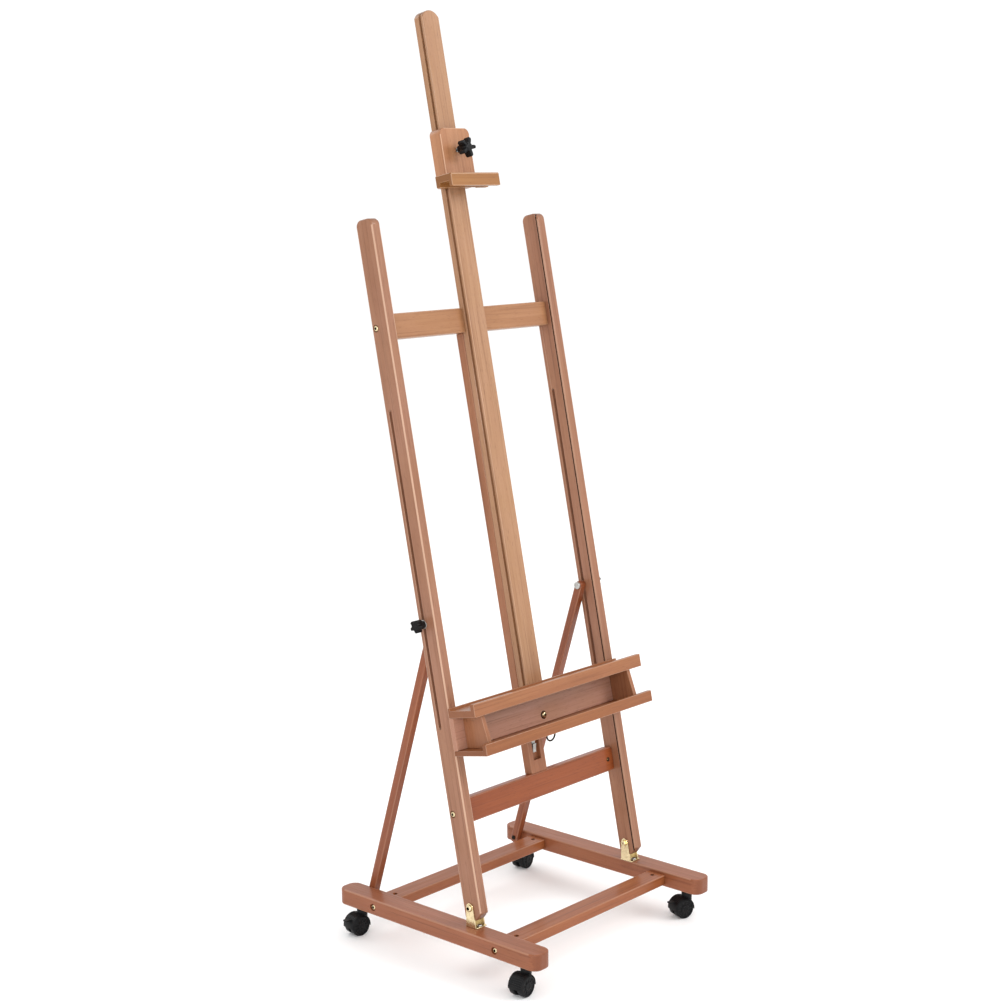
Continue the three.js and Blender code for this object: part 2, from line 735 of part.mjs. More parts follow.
function strutScrew(side) {
  const headAt = strutInner - clearance - 3;
  const [h0, h1] = sideSpan(side, headAt, headAt + 3);
  const [s0, s1] = sideSpan(side, headAt + 1, strutOuter - clearance);
  const body = join(rodX(5, h0, h1, 0, -strutLength), rodX(2.5, s0, s1, 0, -strutLength, 12));
  return part(side > 0 ? 'strut_screw_right' : 'strut_screw_left', body, steel());
}

// Lock bolt: head against the strut, shank through the slot, end inside the knob.
const knobInner = runnerInner + uprightThickness + 1.5;

function lockBolt(side) {
  const headAt = strutInner - clearance - 4;
  const [h0, h1] = sideSpan(side, headAt, headAt + 4);
  const [s0, s1] = sideSpan(side, headAt + 1, knobInner + 12);
  const [w0, w1] = sideSpan(side, knobInner - 1.2, knobInner - clearance);
  const body = join(
    rodX(8, h0, h1, slotY, lockZ, 20),
    rodX(lockBoltRadius, s0, s1, slotY, lockZ, 16),
    rodX(9, w0, w1, slotY, lockZ, 20),
  );
  return part(side > 0 ? 'lock_bolt_right' : 'lock_bolt_left', body, steel());
}

function lockKnob(side) {
  const [k0, k1] = sideSpan(side, knobInner + 8, knobInner + 25);
  const [n0, n1] = sideSpan(side, knobInner, knobInner + 9);
  const [b0, b1] = sideSpan(side, knobInner - through, knobInner + 14);
  const body = cut(
    join(
      prismX(lobedOutline(13.5, 5, 3.5), k0, k1).translate(0, slotY, lockZ),
      rodX(8, n0, n1, slotY, lockZ, 20),
    ),
    rodX(lockBoltRadius + 0.2, b0, b1, slotY, lockZ, 16),
  );
  return part(side > 0 ? 'lock_knob_right' : 'lock_knob_left', body, blackPlastic());
}

// Assembly.
const easel = new THREE.Group();
const frame = new THREE.Group();
frame.position.set(0, hingeY, hingeZ);
frame.rotation.x = -lean;
easel.add(frame);

for (const side of [-1, 1]) {
  const hand = side > 0 ? 'right' : 'left';
  easel.add(runner(side), bracket(side), bracketScrew(side), tiltBolt(side));
  easel.add(baseBolt(side, frontBarY, `base_bolt_front_${hand}`));
  easel.add(baseBolt(side, rearBarY, `base_bolt_rear_${hand}`));
  frame.add(upright(side), trayDivider(side), lockBolt(side), lockKnob(side));
  frame.add(frameBolt(side, frameBoltHeights[0], `frame_bolt_low_${hand}`));
  frame.add(frameBolt(side, frameBoltHeights[1], `frame_bolt_high_${hand}`));
  const strutGroup = new THREE.Group();
  strutGroup.position.set(0, lockWorldY, lockWorldZ);
  strutGroup.rotation.x = strutLean;
  strutGroup.add(strut(side), strutScrew(side));
  easel.add(strutGroup);
}

easel.add(baseCrossbar('base_crossbar_front', frontBarY), baseCrossbar('base_crossbar_rear', rearBarY));
easel.add(castor('front_left', -1, -castorY, 4, false));
easel.add(castor('front_right', 1, -castorY, -20, true));
easel.add(castor('rear_left', -1, castorY, -8, true));
easel.add(castor('rear_right', 1, castorY, 6, false));

frame.add(upperCrossbar(), lowerCrossbar(), rearPost(), ratchetRack());
frame.add(mast(), ratchetPawl(), pullRing());
frame.add(trayLedge(), trayBoard(), trayShelf(), trayBolt());
frame.add(clampBlock(), clampShoe(), clampBar(), clampKnob());

export default easel;
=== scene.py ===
import json
import math
import bmesh
import bpy
from mathutils import Matrix, Vector
from mathutils.bvhtree import BVHTree


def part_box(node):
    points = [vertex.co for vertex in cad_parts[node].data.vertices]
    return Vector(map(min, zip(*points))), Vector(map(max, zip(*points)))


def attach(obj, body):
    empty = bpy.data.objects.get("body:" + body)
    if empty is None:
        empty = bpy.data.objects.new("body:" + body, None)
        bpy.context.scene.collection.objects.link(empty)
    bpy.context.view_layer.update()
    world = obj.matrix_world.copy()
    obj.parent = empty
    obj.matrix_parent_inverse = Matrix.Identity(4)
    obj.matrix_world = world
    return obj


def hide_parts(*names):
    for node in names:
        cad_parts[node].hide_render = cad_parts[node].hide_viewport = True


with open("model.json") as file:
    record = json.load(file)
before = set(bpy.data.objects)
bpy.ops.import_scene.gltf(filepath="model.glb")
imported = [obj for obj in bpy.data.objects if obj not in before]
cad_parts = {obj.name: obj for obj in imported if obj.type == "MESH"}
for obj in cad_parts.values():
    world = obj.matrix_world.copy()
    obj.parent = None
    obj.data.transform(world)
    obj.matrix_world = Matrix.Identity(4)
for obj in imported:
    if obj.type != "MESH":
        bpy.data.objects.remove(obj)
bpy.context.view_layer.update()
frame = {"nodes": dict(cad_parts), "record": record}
nodes = frame["nodes"]
mm = 0.001
sideNames = {"left": -1, "right": 1}
print("frame loaded:", len(nodes), "nodes")

# The leaning frame's own axes: x across, y from the hinge to the back, z up along the uprights.
easel = {
    "leanDegrees": 11.4,
    "hinge": (0, -0.0813, 0.1351),
    "castorX": 0.263,
    "castorY": 0.2315,
    "castorTurns": {"front_left": 4, "front_right": -20, "rear_left": -8, "rear_right": 6},
}
leanTurn = Matrix.Rotation(-math.radians(easel["leanDegrees"]), 4, "X")
frameMatrix = Matrix.Translation(easel["hinge"]) @ leanTurn
alongFrame = leanTurn @ Vector((0, 0, 1))
alongX = Vector((1, 0, 0))
alongY = Vector((0, 1, 0))
alongZ = Vector((0, 0, 1))


def castorMatrix(where):
    side = -1 if "left" in where else 1
    end = -1 if "front" in where else 1
    spot = Matrix.Translation((side * easel["castorX"], end * easel["castorY"], 0))
    return spot @ Matrix.Rotation(math.radians(easel["castorTurns"][where]), 4, "Z")


# Shader helpers.
def newMaterial(name):
    material = bpy.data.materials.new(name)
    material.use_nodes = True
    tree = material.node_tree
    return material, tree, tree.nodes["Principled BSDF"]


def addNode(tree, kind, **settings):
    node = tree.nodes.new(kind)
    for key, value in settings.items():
        if hasattr(node, key):
            setattr(node, key, value)
        else:
            node.inputs[key].default_value = value
    return node


def stretched(tree, source, scale):
    mapping = addNode(tree, "ShaderNodeMapping")
    mapping.inputs["Scale"].default_value = scale
    tree.links.new(source, mapping.inputs["Vector"])
    return mapping.outputs["Vector"]


def noise(tree, vector, scale, detail=4.0, roughness=0.55):
    node = addNode(tree, "ShaderNodeTexNoise")
    node.inputs["Scale"].default_value = scale
    node.inputs["Detail"].default_value = detail
    node.inputs["Roughness"].default_value = roughness
    tree.links.new(vector, node.inputs["Vector"])
    return node.outputs["Fac"]


def remap(tree, value, low, high, toLow=0.0, toHigh=1.0):
    node = addNode(tree, "ShaderNodeMapRange")
    for key, number in (("From Min", low), ("From Max", high), ("To Min", toLow), ("To Max", toHigh)):
        node.inputs[key].default_value = number
    tree.links.new(value, node.inputs["Value"])
    return node.outputs["Result"]


def mixColour(tree, factor, first, second, mode="MIX"):
    node = addNode(tree, "ShaderNodeMix", data_type="RGBA", blend_type=mode)
    for socket, value in ((node.inputs[0], factor), (node.inputs[6], first), (node.inputs[7], second)):
        if isinstance(value, bpy.types.NodeSocket):
            tree.links.new(value, socket)
        else:
            socket.default_value = value if isinstance(value, float) else (*value, 1.0)
    return node.outputs[2]


def mathNode(tree, operation, first, second):
    node = addNode(tree, "ShaderNodeMath", operation=operation)
    for socket, value in zip(node.inputs, (first, second)):
        if isinstance(value, bpy.types.NodeSocket):
            tree.links.new(value, socket)
        else:
            socket.default_value = value
    return node.outputs[0]


def addBump(tree, shader, height, strength, distance):
    bump = addNode(tree, "ShaderNodeBump")
    bump.inputs["Strength"].default_value = strength
    bump.inputs["Distance"].default_value = distance
    tree.links.new(height, bump.inputs["Height"])
    tree.links.new(bump.outputs["Normal"], shader.inputs["Normal"])


# Materials.
# Timber is read in each board's own axes: the attribute "timber" runs z along the grain.
beechLook = {
    "light": (0.63, 0.335, 0.185),
    "dark": (0.47, 0.215, 0.105),
    "pink": (0.60, 0.305, 0.19),
    "fleck": (0.22, 0.085, 0.04),
    "vein": (0.25, 0.10, 0.045),
    "endGrain": (0.36, 0.155, 0.075),
    # painted highlight: the pale colour of the light caught on a rounded edge
    "edgeHighlight": (0.80, 0.54, 0.39),
    # painted shade for the faces down in a groove
    "grooveShade": (0.06, 0.022, 0.012),
    "roughness": (0.40, 0.58),
}


def beechMaterial():
    material, tree, shader = newMaterial("oiled beech")
    look = beechLook
    timber = addNode(tree, "ShaderNodeAttribute", attribute_name="timber").outputs["Vector"]
    stain = addNode(tree, "ShaderNodeAttribute", attribute_name="stain").outputs["Color"]
    endFace = addNode(tree, "ShaderNodeAttribute", attribute_name="endGrain").outputs["Fac"]
    # broad figure, long streaks, fine pores and the short dark ray flecks of beech
    broad = noise(tree, stretched(tree, timber, (1.0, 1.0, 0.10)), 34.0, 3.0)
    streak = noise(tree, stretched(tree, timber, (1.0, 1.0, 0.035)), 190.0, 5.0, 0.65)
    pores = noise(tree, stretched(tree, timber, (1.0, 1.0, 0.05)), 900.0, 2.0)
    flecks = noise(tree, stretched(tree, timber, (1.0, 1.0, 0.09)), 760.0, 1.0, 0.4)
    blotch = noise(tree, timber, 9.0, 2.0)
    veins = noise(tree, stretched(tree, timber, (1.0, 1.0, 0.012)), 330.0, 3.0, 0.5)

    bands = addNode(tree, "ShaderNodeTexWave", wave_type="RINGS", rings_direction="Z")
    bands.inputs["Scale"].default_value = 16.0
    bands.inputs["Distortion"].default_value = 7.0
    bands.inputs["Detail"].default_value = 3.0
    bands.inputs["Detail Scale"].default_value = 1.4
    offCentre = addNode(tree, "ShaderNodeMapping")
    offCentre.inputs["Location"].default_value = (0.055, 0.04, 0.0)
    offCentre.inputs["Scale"].default_value = (1.0, 1.0, 0.05)
    tree.links.new(timber, offCentre.inputs["Vector"])
    tree.links.new(offCentre.outputs["Vector"], bands.inputs["Vector"])

    colour = mixColour(tree, remap(tree, broad, 0.30, 0.70), look["light"], look["dark"])
    colour = mixColour(tree, remap(tree, blotch, 0.35, 0.7, 0.0, 0.7), colour, look["pink"])
    colour = mixColour(tree, remap(tree, streak, 0.35, 0.75, 0.0, 0.55), colour, look["dark"])
    colour = mixColour(tree, remap(tree, veins, 0.55, 0.70, 0.0, 0.5), colour, look["vein"])
    colour = mixColour(tree, remap(tree, bands.outputs["Fac"], 0.0, 1.0, 0.0, 0.22), colour, look["dark"])
    colour = mixColour(tree, remap(tree, flecks, 0.64, 0.76, 0.0, 0.45), colour, look["fleck"])
    colour = mixColour(tree, mathNode(tree, "MULTIPLY", endFace, 0.75), colour, look["endGrain"])

    colour = mixColour(tree, 1.0, colour, stain, "MULTIPLY")
    # the long rounding strips are painted paler, a painted highlight where the edges catch the light
    arrisHighlight = addNode(tree, "ShaderNodeAttribute", attribute_name="arrisHighlight").outputs["Fac"]
    highlighted = mathNode(tree, "MULTIPLY", arrisHighlight, remap(tree, broad, 0.3, 0.7, 0.30, 0.55))
    colour = mixColour(tree, highlighted, colour, look["edgeHighlight"])
    # faces down in a groove are painted dark, a painted shade
    groove = addNode(tree, "ShaderNodeAttribute", attribute_name="groove").outputs["Fac"]
    colour = mixColour(tree, groove, colour, look["grooveShade"])
    tree.links.new(colour, shader.inputs["Base Color"])

    low, high = look["roughness"]
    tree.links.new(remap(tree, streak, 0.3, 0.7, low, high), shader.inputs["Roughness"])
    shader.inputs["Specular IOR Level"].default_value = 0.25
    shader.inputs["Coat Weight"].default_value = 0.3
    shader.inputs["Coat Roughness"].default_value = 0.16
    relief = mathNode(tree, "ADD", mathNode(tree, "MULTIPLY", pores, 0.6), streak)
    addBump(tree, shader, relief, 0.25, 0.0004)
    return material


plasticLook = {"base": (0.004, 0.004, 0.0045), "scuff": (0.02, 0.02, 0.021), "roughness": (0.34, 0.52)}
brassLook = {"base": (0.77, 0.64, 0.39), "tarnish": (0.55, 0.44, 0.26), "roughness": (0.16, 0.34)}
steelLook = {"base": (0.50, 0.49, 0.47), "tarnish": (0.20, 0.18, 0.16), "roughness": (0.22, 0.45)}
pawlLook = {"base": (0.34, 0.33, 0.32), "tarnish": (0.13, 0.12, 0.11), "roughness": (0.28, 0.5)}
wireLook = {"base": (0.04, 0.03, 0.023), "tarnish": (0.02, 0.015, 0.012), "roughness": (0.4, 0.6)}
# Painted shade inside a driver recess: a dark colour standing in for the shadow there.
recessShade = (0.03, 0.024, 0.018)


def plasticMaterial():
    material, tree, shader = newMaterial("moulded black plastic")
    look = plasticLook
    spot = addNode(tree, "ShaderNodeTexCoord").outputs["Object"]
    grainy = noise(tree, spot, 1600.0, 2.0)
    scuffs = noise(tree, spot, 120.0, 6.0, 0.7)
    pointy = addNode(tree, "ShaderNodeNewGeometry").outputs["Pointiness"]
    colour = mixColour(tree, remap(tree, scuffs, 0.55, 0.75, 0.0, 0.5), look["base"], look["scuff"])
    colour = mixColour(tree, remap(tree, pointy, 0.52, 0.62, 0.0, 0.6), colour, look["scuff"])
    tree.links.new(colour, shader.inputs["Base Color"])
    shader.inputs["Specular IOR Level"].default_value = 0.16
    low, high = look["roughness"]
    tree.links.new(remap(tree, scuffs, 0.3, 0.7, low, high), shader.inputs["Roughness"])
    addBump(tree, shader, grainy, 0.35, 0.00015)
    return material


def metalMaterial(name, look):
    material, tree, shader = newMaterial(name)
    spot = addNode(tree, "ShaderNodeTexCoord").outputs["Object"]
    stains = noise(tree, spot, 90.0, 5.0, 0.6)
    brushed = noise(tree, stretched(tree, spot, (1.0, 1.0, 0.08)), 2600.0, 2.0)
    colour = mixColour(tree, remap(tree, stains, 0.45, 0.72, 0.0, 0.8), look["base"], look["tarnish"])
    # the marked recess faces are painted dark, a painted shade
    socket = addNode(tree, "ShaderNodeAttribute", attribute_name="socket").outputs["Fac"]
    colour = mixColour(tree, socket, colour, recessShade)
    tree.links.new(colour, shader.inputs["Base Color"])
    shader.inputs["Metallic"].default_value = 1.0
    low, high = look["roughness"]
    tree.links.new(remap(tree, stains, 0.3, 0.7, low, high), shader.inputs["Roughness"])
    addBump(tree, shader, brushed, 0.2, 0.0001)
    return material


beech = beechMaterial()
plastic = plasticMaterial()
brass = metalMaterial("yellow zinc plate", brassLook)
steel = metalMaterial("bright zinc steel", steelLook)
# the pawl gets a darker copy of the steel colour
pawlSteel = metalMaterial("darker pawl steel", pawlLook)
wire = metalMaterial("dark wire", wireLook)
for oneNode in nodes.values():
    oneNode.data.materials.clear()
    oneNode.data.materials.append(beech)
print("materials ready")


# Mesh helpers.
cornerAngle = math.radians(40)
easing = {"strip": 6.5 * mm, "mergeGap": 2e-6, "flatDegrees": 0.6, "fine": 0.4 * mm, "level": 0.1 * mm}


def addPiece(name, mesh, material):
    mesh.materials.clear()
    mesh.materials.append(material)
    piece = bpy.data.objects.new(name, mesh)
    bpy.context.scene.collection.objects.link(piece)
    return piece


def place(piece, body, replaced=()):
    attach(piece, body)
    for name in replaced:
        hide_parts(name)
    return piece


# Flat faces stay flat, narrow rounding strips shade smooth and sharp corners stay sharp.
def setShading(bm):
    for face in bm.faces:
        longest = max(edge.calc_length() for edge in face.edges)
        face.smooth = face.calc_area() < easing["strip"] * longest
    for edge in bm.edges:
        edge.smooth = len(edge.link_faces) == 2 and edge.calc_face_angle(0) < cornerAngle


# Corners that stick out and are sharp.
def sharpEdges(bm):
    return [
        edge for edge in bm.edges
        if len(edge.link_faces) == 2 and edge.calc_face_angle_signed(0) > cornerAngle
    ]


def bevelled(bm, edges, radius, segments):
    bmesh.ops.bevel(
        bm, geom=edges, offset=radius, offset_type="OFFSET", segments=segments,
        profile=0.5, affect="EDGES", clamp_overlap=False)
    bm.normal_update()


# The outer corners take the full radius; the edges of slots, grooves and holes take a fine one.
def softened(nodeName, radius, segments=3):
    mesh = nodes[nodeName].data.copy()
    if "custom_normal" in mesh.attributes:
        mesh.attributes.remove(mesh.attributes["custom_normal"])
    bm = bmesh.new()
    bm.from_mesh(mesh)
    bmesh.ops.remove_doubles(bm, verts=bm.verts, dist=easing["mergeGap"])
    flat = math.radians(easing["flatDegrees"])
    bmesh.ops.dissolve_limit(bm, angle_limit=flat, verts=bm.verts, edges=bm.edges)
    bm.normal_update()
    points = [vert.co.copy() for vert in bm.verts]
    outside = set()
    for face in bm.faces:
        level = face.normal.dot(face.verts[0].co)
        if max(face.normal.dot(point) for point in points) < level + easing["level"]:
            outside.add(face)
    corners = [edge for edge in sharpEdges(bm) if all(face in outside for face in edge.link_faces)]
    bevelled(bm, corners, radius, segments)
    fine = easing["fine"]
    bevelled(bm, sharpEdges(bm), min(fine, radius), 1 if radius > fine else segments)
    setShading(bm)
    bm.to_mesh(mesh)
    bm.free()
    return mesh


# Joins a row of point rings into one closed skin, its two ends closed by fans.
def skin(rings):
    bm = bmesh.new()
    made = [[bm.verts.new(point) for point in ring] for ring in rings]
    count = len(made[0])
    for lower, upper in zip(made, made[1:]):
        for i in range(count):
            j = (i + 1) % count
            bm.faces.new((lower[i], lower[j], upper[j], upper[i]))
    for ring in (made[0], made[-1]):
        centre = sum((v.co for v in ring), Vector()) / count
        hub = bm.verts.new(centre)
        for i in range(count):
            bm.faces.new((hub, ring[i], ring[(i + 1) % count]))
    bmesh.ops.recalc_face_normals(bm, faces=bm.faces)
    for face in bm.faces:
        face.smooth = True
    for edge in bm.edges:
        edge.smooth = edge.calc_face_angle(0) < math.radians(38)
    mesh = bpy.data.meshes.new("skin")
    bm.to_mesh(mesh)
    bm.free()
    return mesh


def roundShape(angle):
    return 1.0


def rounded(profile):
    return [(radius, height, roundShape) for radius, height in profile]


def hexShape(angle):
    return math.cos(math.pi / 6) / math.cos((angle % (math.pi / 3)) - math.pi / 6)


def crossShape(angle):
    return 0.42 + 0.58 * abs(math.cos(2 * angle)) ** 6


# A turned part: profile entries are (radius, height, shape), in millimetres, along local z.
def turned(profile, matrix, steps=40):
    rings = []
    for radius, height, shape in profile:
        ring = []
        for i in range(steps):
            angle = 2 * math.pi * i / steps
            r = radius * shape(angle) * mm
            ring.append(matrix @ Vector((r * math.cos(angle), r * math.sin(angle), height * mm)))
        rings.append(ring)
    return skin(rings)


def joinMeshes(meshes):
    bm = bmesh.new()
    for mesh in meshes:
        bm.from_mesh(mesh)
    joined = bpy.data.meshes.new("joined")
    bm.to_mesh(joined)
    bm.free()
    return joined


# Puts local z along a direction at a point.
def facing(point, direction):
    turn = Vector(direction).to_track_quat("Z", "Y").to_matrix().to_4x4()
    return Matrix.Translation(point) @ turn


# Geometry nodes helpers.
def newTree(name, inputs):
    tree = bpy.data.node_groups.new(name, "GeometryNodeTree")
    sockets = tree.interface
    sockets.new_socket(name="Geometry", in_out="INPUT", socket_type="NodeSocketGeometry")
    sockets.new_socket(name="Geometry", in_out="OUTPUT", socket_type="NodeSocketGeometry")
    kinds = {float: "NodeSocketFloat", int: "NodeSocketInt", tuple: "NodeSocketVector"}
    for label, value in inputs.items():
        socket = sockets.new_socket(name=label, in_out="INPUT", socket_type=kinds[type(value)])
        socket.default_value = value
    sockets.new_socket(name="Material", in_out="INPUT", socket_type="NodeSocketMaterial")
    source = tree.nodes.new("NodeGroupInput")
    return tree, source


def finishTree(tree, source, geometry):
    realize = tree.nodes.new("GeometryNodeRealizeInstances")
    paint = tree.nodes.new("GeometryNodeSetMaterial")
    sink = tree.nodes.new("NodeGroupOutput")
    tree.links.new(geometry, realize.inputs["Geometry"])
    tree.links.new(realize.outputs["Geometry"], paint.inputs["Geometry"])
    tree.links.new(source.outputs["Material"], paint.inputs["Material"])
    tree.links.new(paint.outputs["Geometry"], sink.inputs["Geometry"])
    return tree


def grown(name, tree, values, material, points=None):
    holder = bpy.data.objects.new(name, points or bpy.data.meshes.new(name))
    bpy.context.scene.collection.objects.link(holder)
    modifier = holder.modifiers.new("grow", "NODES")
    modifier.node_group = tree
    wanted = dict(values, Material=material)
    for item in tree.interface.items_tree:
        if item.item_type == "SOCKET" and item.in_out == "INPUT" and item.name in wanted:
            modifier[item.identifier] = wanted[item.name]
    shown = holder.evaluated_get(bpy.context.evaluated_depsgraph_get())
    mesh = bpy.data.meshes.new_from_object(shown)
    holder.modifiers.clear()
    bpy.data.objects.remove(holder)
    return mesh


def geoNode(tree, kind, links=(), **settings):
    node = tree.nodes.new(kind)
    for key, value in settings.items():
        if hasattr(node, key):
            setattr(node, key, value)
        else:
            node.inputs[key].default_value = value
    for key, source in dict(links).items():
        tree.links.new(source, node.inputs[key])
    return node


# Timber.
# Every board: which way its grain runs, how round its edges are, how strong the painted highlight on its
# edges is, and its stain.
timberLook = {
    "runner": {"grain": alongY, "edge": 2.6, "highlightStrength": 0.35, "stain": (0.48, 0.311, 0.234)},
    "base_crossbar": {"grain": alongX, "edge": 1.4, "highlightStrength": 0.3, "stain": (0.483, 0.286, 0.152)},
    "upright_right": {"grain": alongFrame, "edge": 2.6, "highlightStrength": 0.4, "stain": (0.51, 0.45, 0.44)},
    "upright": {"grain": alongFrame, "edge": 2.6, "highlightStrength": 1.0, "stain": (0.545, 0.50, 0.51)},
    "upper_crossbar": {"grain": alongX, "edge": 1.2, "highlightStrength": 0.25, "stain": (0.589, 0.538, 0.429)},
    "lower_crossbar": {"grain": alongX, "edge": 1.2, "highlightStrength": 0.25, "stain": (0.46, 0.215, 0.08)},
    "rear_post": {"grain": alongFrame, "edge": 0.8, "highlightStrength": 0.2, "stain": (0.53, 0.41, 0.33)},
    "mast": {"grain": alongFrame, "edge": 1.3, "highlightStrength": 0.5, "stain": (0.64, 0.671, 0.631)},
    "tray_ledge": {"grain": alongX, "edge": 1.2, "highlightStrength": 0.4, "stain": (0.536, 0.406, 0.287)},
    "tray_board": {"grain": alongX, "edge": 0.6, "highlightStrength": 0.2, "stain": (0.897, 0.939, 1.181)},
    "tray_shelf": {"grain": alongX, "edge": 1.2, "highlightStrength": 0.4, "stain": (0.445, 0.30, 0.165)},
    "tray_divider": {"grain": alongFrame, "edge": 0.8, "highlightStrength": 0.3, "stain": (0.6, 0.5, 0.43)},
    "clamp_block": {"grain": alongFrame, "edge": 1.2, "highlightStrength": 1.0, "stain": (0.722, 0.662, 0.57)},
    "clamp_bar": {"grain": alongX, "edge": 1.4, "highlightStrength": 0.6, "stain": (0.496, 0.411, 0.188)},
    "strut": {"grain": None, "edge": 1.6, "highlightStrength": 0.3, "stain": (0.445, 0.245, 0.15)},
}


def strutGrain():
    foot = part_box("strut_screw_left")
    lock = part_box("lock_bolt_left")
    return ((lock[0] + lock[1]) / 2 - (foot[0] + foot[1]) / 2) * Vector((0, 1, 1))


# A face counts as down in a groove when most of the rays that leave it soon meet the board again.
grooveTest = {"reach": 9, "rays": 6, "closed": 4, "lift": 0.05}
# A rounding strip is narrower and longer than this, and end grain starts at this turn.
roundingStrip = {"width": 1.5, "length": 20}
endGrain = {"from": 0.35, "over": 0.45}


# Marks the faces down in a narrow groove, which are painted dark as shade.
def grooveMarks(mesh):
    corners = [vertex.co for vertex in mesh.vertices]
    tree = BVHTree.FromPolygons(corners, [polygon.vertices[:] for polygon in mesh.polygons])
    marks = []
    for polygon in mesh.polygons:
        side = polygon.normal.orthogonal().normalized()
        other = polygon.normal.cross(side)
        start = polygon.center + grooveTest["lift"] * mm * polygon.normal
        closed = 0
        for step in range(grooveTest["rays"]):
            angle = 2 * math.pi * step / grooveTest["rays"]
            way = polygon.normal + math.cos(angle) * side + math.sin(angle) * other
            closed += tree.ray_cast(start, way.normalized(), grooveTest["reach"] * mm)[0] is not None
        marks.append(float(closed >= grooveTest["closed"]))
    return marks


def paintTimber(mesh, grain, seed, stain, highlightStrength):
    grain = grain.normalized()
    across = alongX if abs(grain.x) < 0.5 else alongY
    thick = grain.cross(across).normalized()
    offset = Vector((0.37 * seed, 0.21 * seed, 1.13 * seed))
    spots = []
    for vertex in mesh.vertices:
        at = vertex.co
        spots.extend(Vector((at.dot(across), at.dot(thick), at.dot(grain))) + offset)
    steep = [abs(polygon.normal.dot(grain)) for polygon in mesh.polygons]
    ends = [min(1.0, max(0.0, (value - endGrain["from"]) / endGrain["over"])) for value in steep]
    mesh.attributes.new("timber", "FLOAT_VECTOR", "POINT").data.foreach_set("vector", spots)
    mesh.attributes.new("stain", "FLOAT_VECTOR", "POINT").data.foreach_set(
        "vector", list(stain) * len(mesh.vertices))
    # the narrow strips that round a board's long edges get a painted highlight, a paler colour standing
    # in for the light they catch
    strips = []
    for polygon in mesh.polygons:
        corners = [mesh.vertices[i].co for i in polygon.vertices]
        longest = max((a - b).length for a, b in zip(corners, corners[1:] + corners[:1]))
        narrow = polygon.area < roundingStrip["width"] * mm * longest
        strips.append(highlightStrength if narrow and longest > roundingStrip["length"] * mm else 0.0)
    mesh.attributes.new("endGrain", "FLOAT", "FACE").data.foreach_set("value", ends)
    mesh.attributes.new("arrisHighlight", "FLOAT", "FACE").data.foreach_set("value", strips)
    # the groove faces carry painted shade
    mesh.attributes.new("groove", "FLOAT", "FACE").data.foreach_set("value", grooveMarks(mesh))


bodyOf = {}
for bodyName, members in frame["record"]["behaviour"]["bodies"].items():
    for member in members:
        bodyOf[member] = bodyName


def makeTimber():
    timberLook["strut"]["grain"] = strutGrain()
    seed = 0
    for nodeName in sorted(nodes):
        family = next((key for key in timberLook if nodeName == key or nodeName in (
            key + "_left", key + "_right", key + "_front", key + "_rear")), None)
        if family is None:
            continue
        seed += 1
        look = timberLook[family]
        mesh = softened(nodeName, look["edge"] * mm)
        stain = Vector(look["stain"]) * (1 + 0.02 * math.sin(2.4 * seed))
        paintTimber(mesh, look["grain"], seed, stain, look["highlightStrength"])
        piece = addPiece("timber_" + nodeName, mesh, beech)
        place(piece, bodyOf[nodeName], [nodeName])
    print("timber ready:", seed, "boards")


makeTimber()

# Bolts and screws.
fixings = {
    "panHead": [
        (0.01, 0.0), (1.0, 0.0), (1.0, 0.25), (0.94, 0.55), (0.80, 0.80), (0.62, 0.95), (0.5, 1.0),
    ],
    "socketDepth": 0.7,
    "socketRadius": 0.5,
    # head radius, head height and shank radius of each kind
    "base_bolt": (5.9, 3.5, 3),
    "frame_bolt": (5.9, 3.6, 3),
    "strut_screw": (5, 3, 2.5),
    "bracket_screw": (4.7, 2.8, 2),
    "tilt_bolt": (7.4, 4, 4),
    "tray_bolt": (6.6, 3.9, 2.6),
    "trayShank": 18,
    "traySeat": (0, -38.7, 337),
    "trayWasher": [(3, 0), (8.4, 0), (8.5, 0.4), (8.1, 0.9), (3, 0.9)],
    "washerThickness": 0.8,
    "nut": [(4.0, 0), (5.6, 0.2), (6.4, 0.9), (6.4, 4.2), (5.7, 4.9), (4.0, 4.9)],
}


# A domed head with a driver recess, on its shank; sizes in millimetres along local z.
def headedBolt(matrix, headRadius, headHeight, shankRadius, shankLength, recess, steps=48):
    head = [(r * headRadius, h * headHeight, roundShape) for r, h in fixings["panHead"]]
    inner = fixings["socketRadius"] * headRadius
    bottom = headHeight * (1 - fixings["socketDepth"])
    head[0] = (shankRadius, -0.001, roundShape)
    lead = [
        (0.6 * shankRadius, -shankLength, roundShape),
        (shankRadius, -shankLength + 0.6, roundShape),
    ]
    top = [
        (inner * 1.08, headHeight, recess), (inner, headHeight - 0.15, recess),
        (inner * 0.92, bottom + 0.1, recess), (inner * 0.4, bottom, recess),
    ]
    mesh = turned(lead + head + top, matrix, steps)
    # the recess is marked face by face for painted shade: its walls, then the disc that closes it
    first = (len(lead) + len(head)) * steps
    walls = first + (len(top) - 1) * steps
    marks = [float(first <= i < walls or i >= walls + steps) for i in range(len(mesh.polygons))]
    mesh.attributes.new("socket", "FLOAT", "FACE").data.foreach_set("value", marks)
    return mesh


def boxCentre(nodeName):
    low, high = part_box(nodeName)
    return (low + high) / 2, low, high


def endsOf(side, low, high):
    return (high.x, low.x) if side > 0 else (low.x, high.x)


# A bolt through the side of the easel, its head on the outside.
def sideFixing(nodeName, side, size, recess, material):
    centre, low, high = boxCentre(nodeName)
    outer, inner = endsOf(side, low, high)
    headRadius, headHeight, shankRadius = size
    headBase = outer - side * headHeight * mm
    matrix = facing(Vector((headBase, centre.y, centre.z)), (side, 0, 0))
    mesh = headedBolt(matrix, headRadius, headHeight, shankRadius, abs(headBase - inner) / mm, recess)
    place(addPiece("fixing_" + nodeName, mesh, material), bodyOf[nodeName], [nodeName])


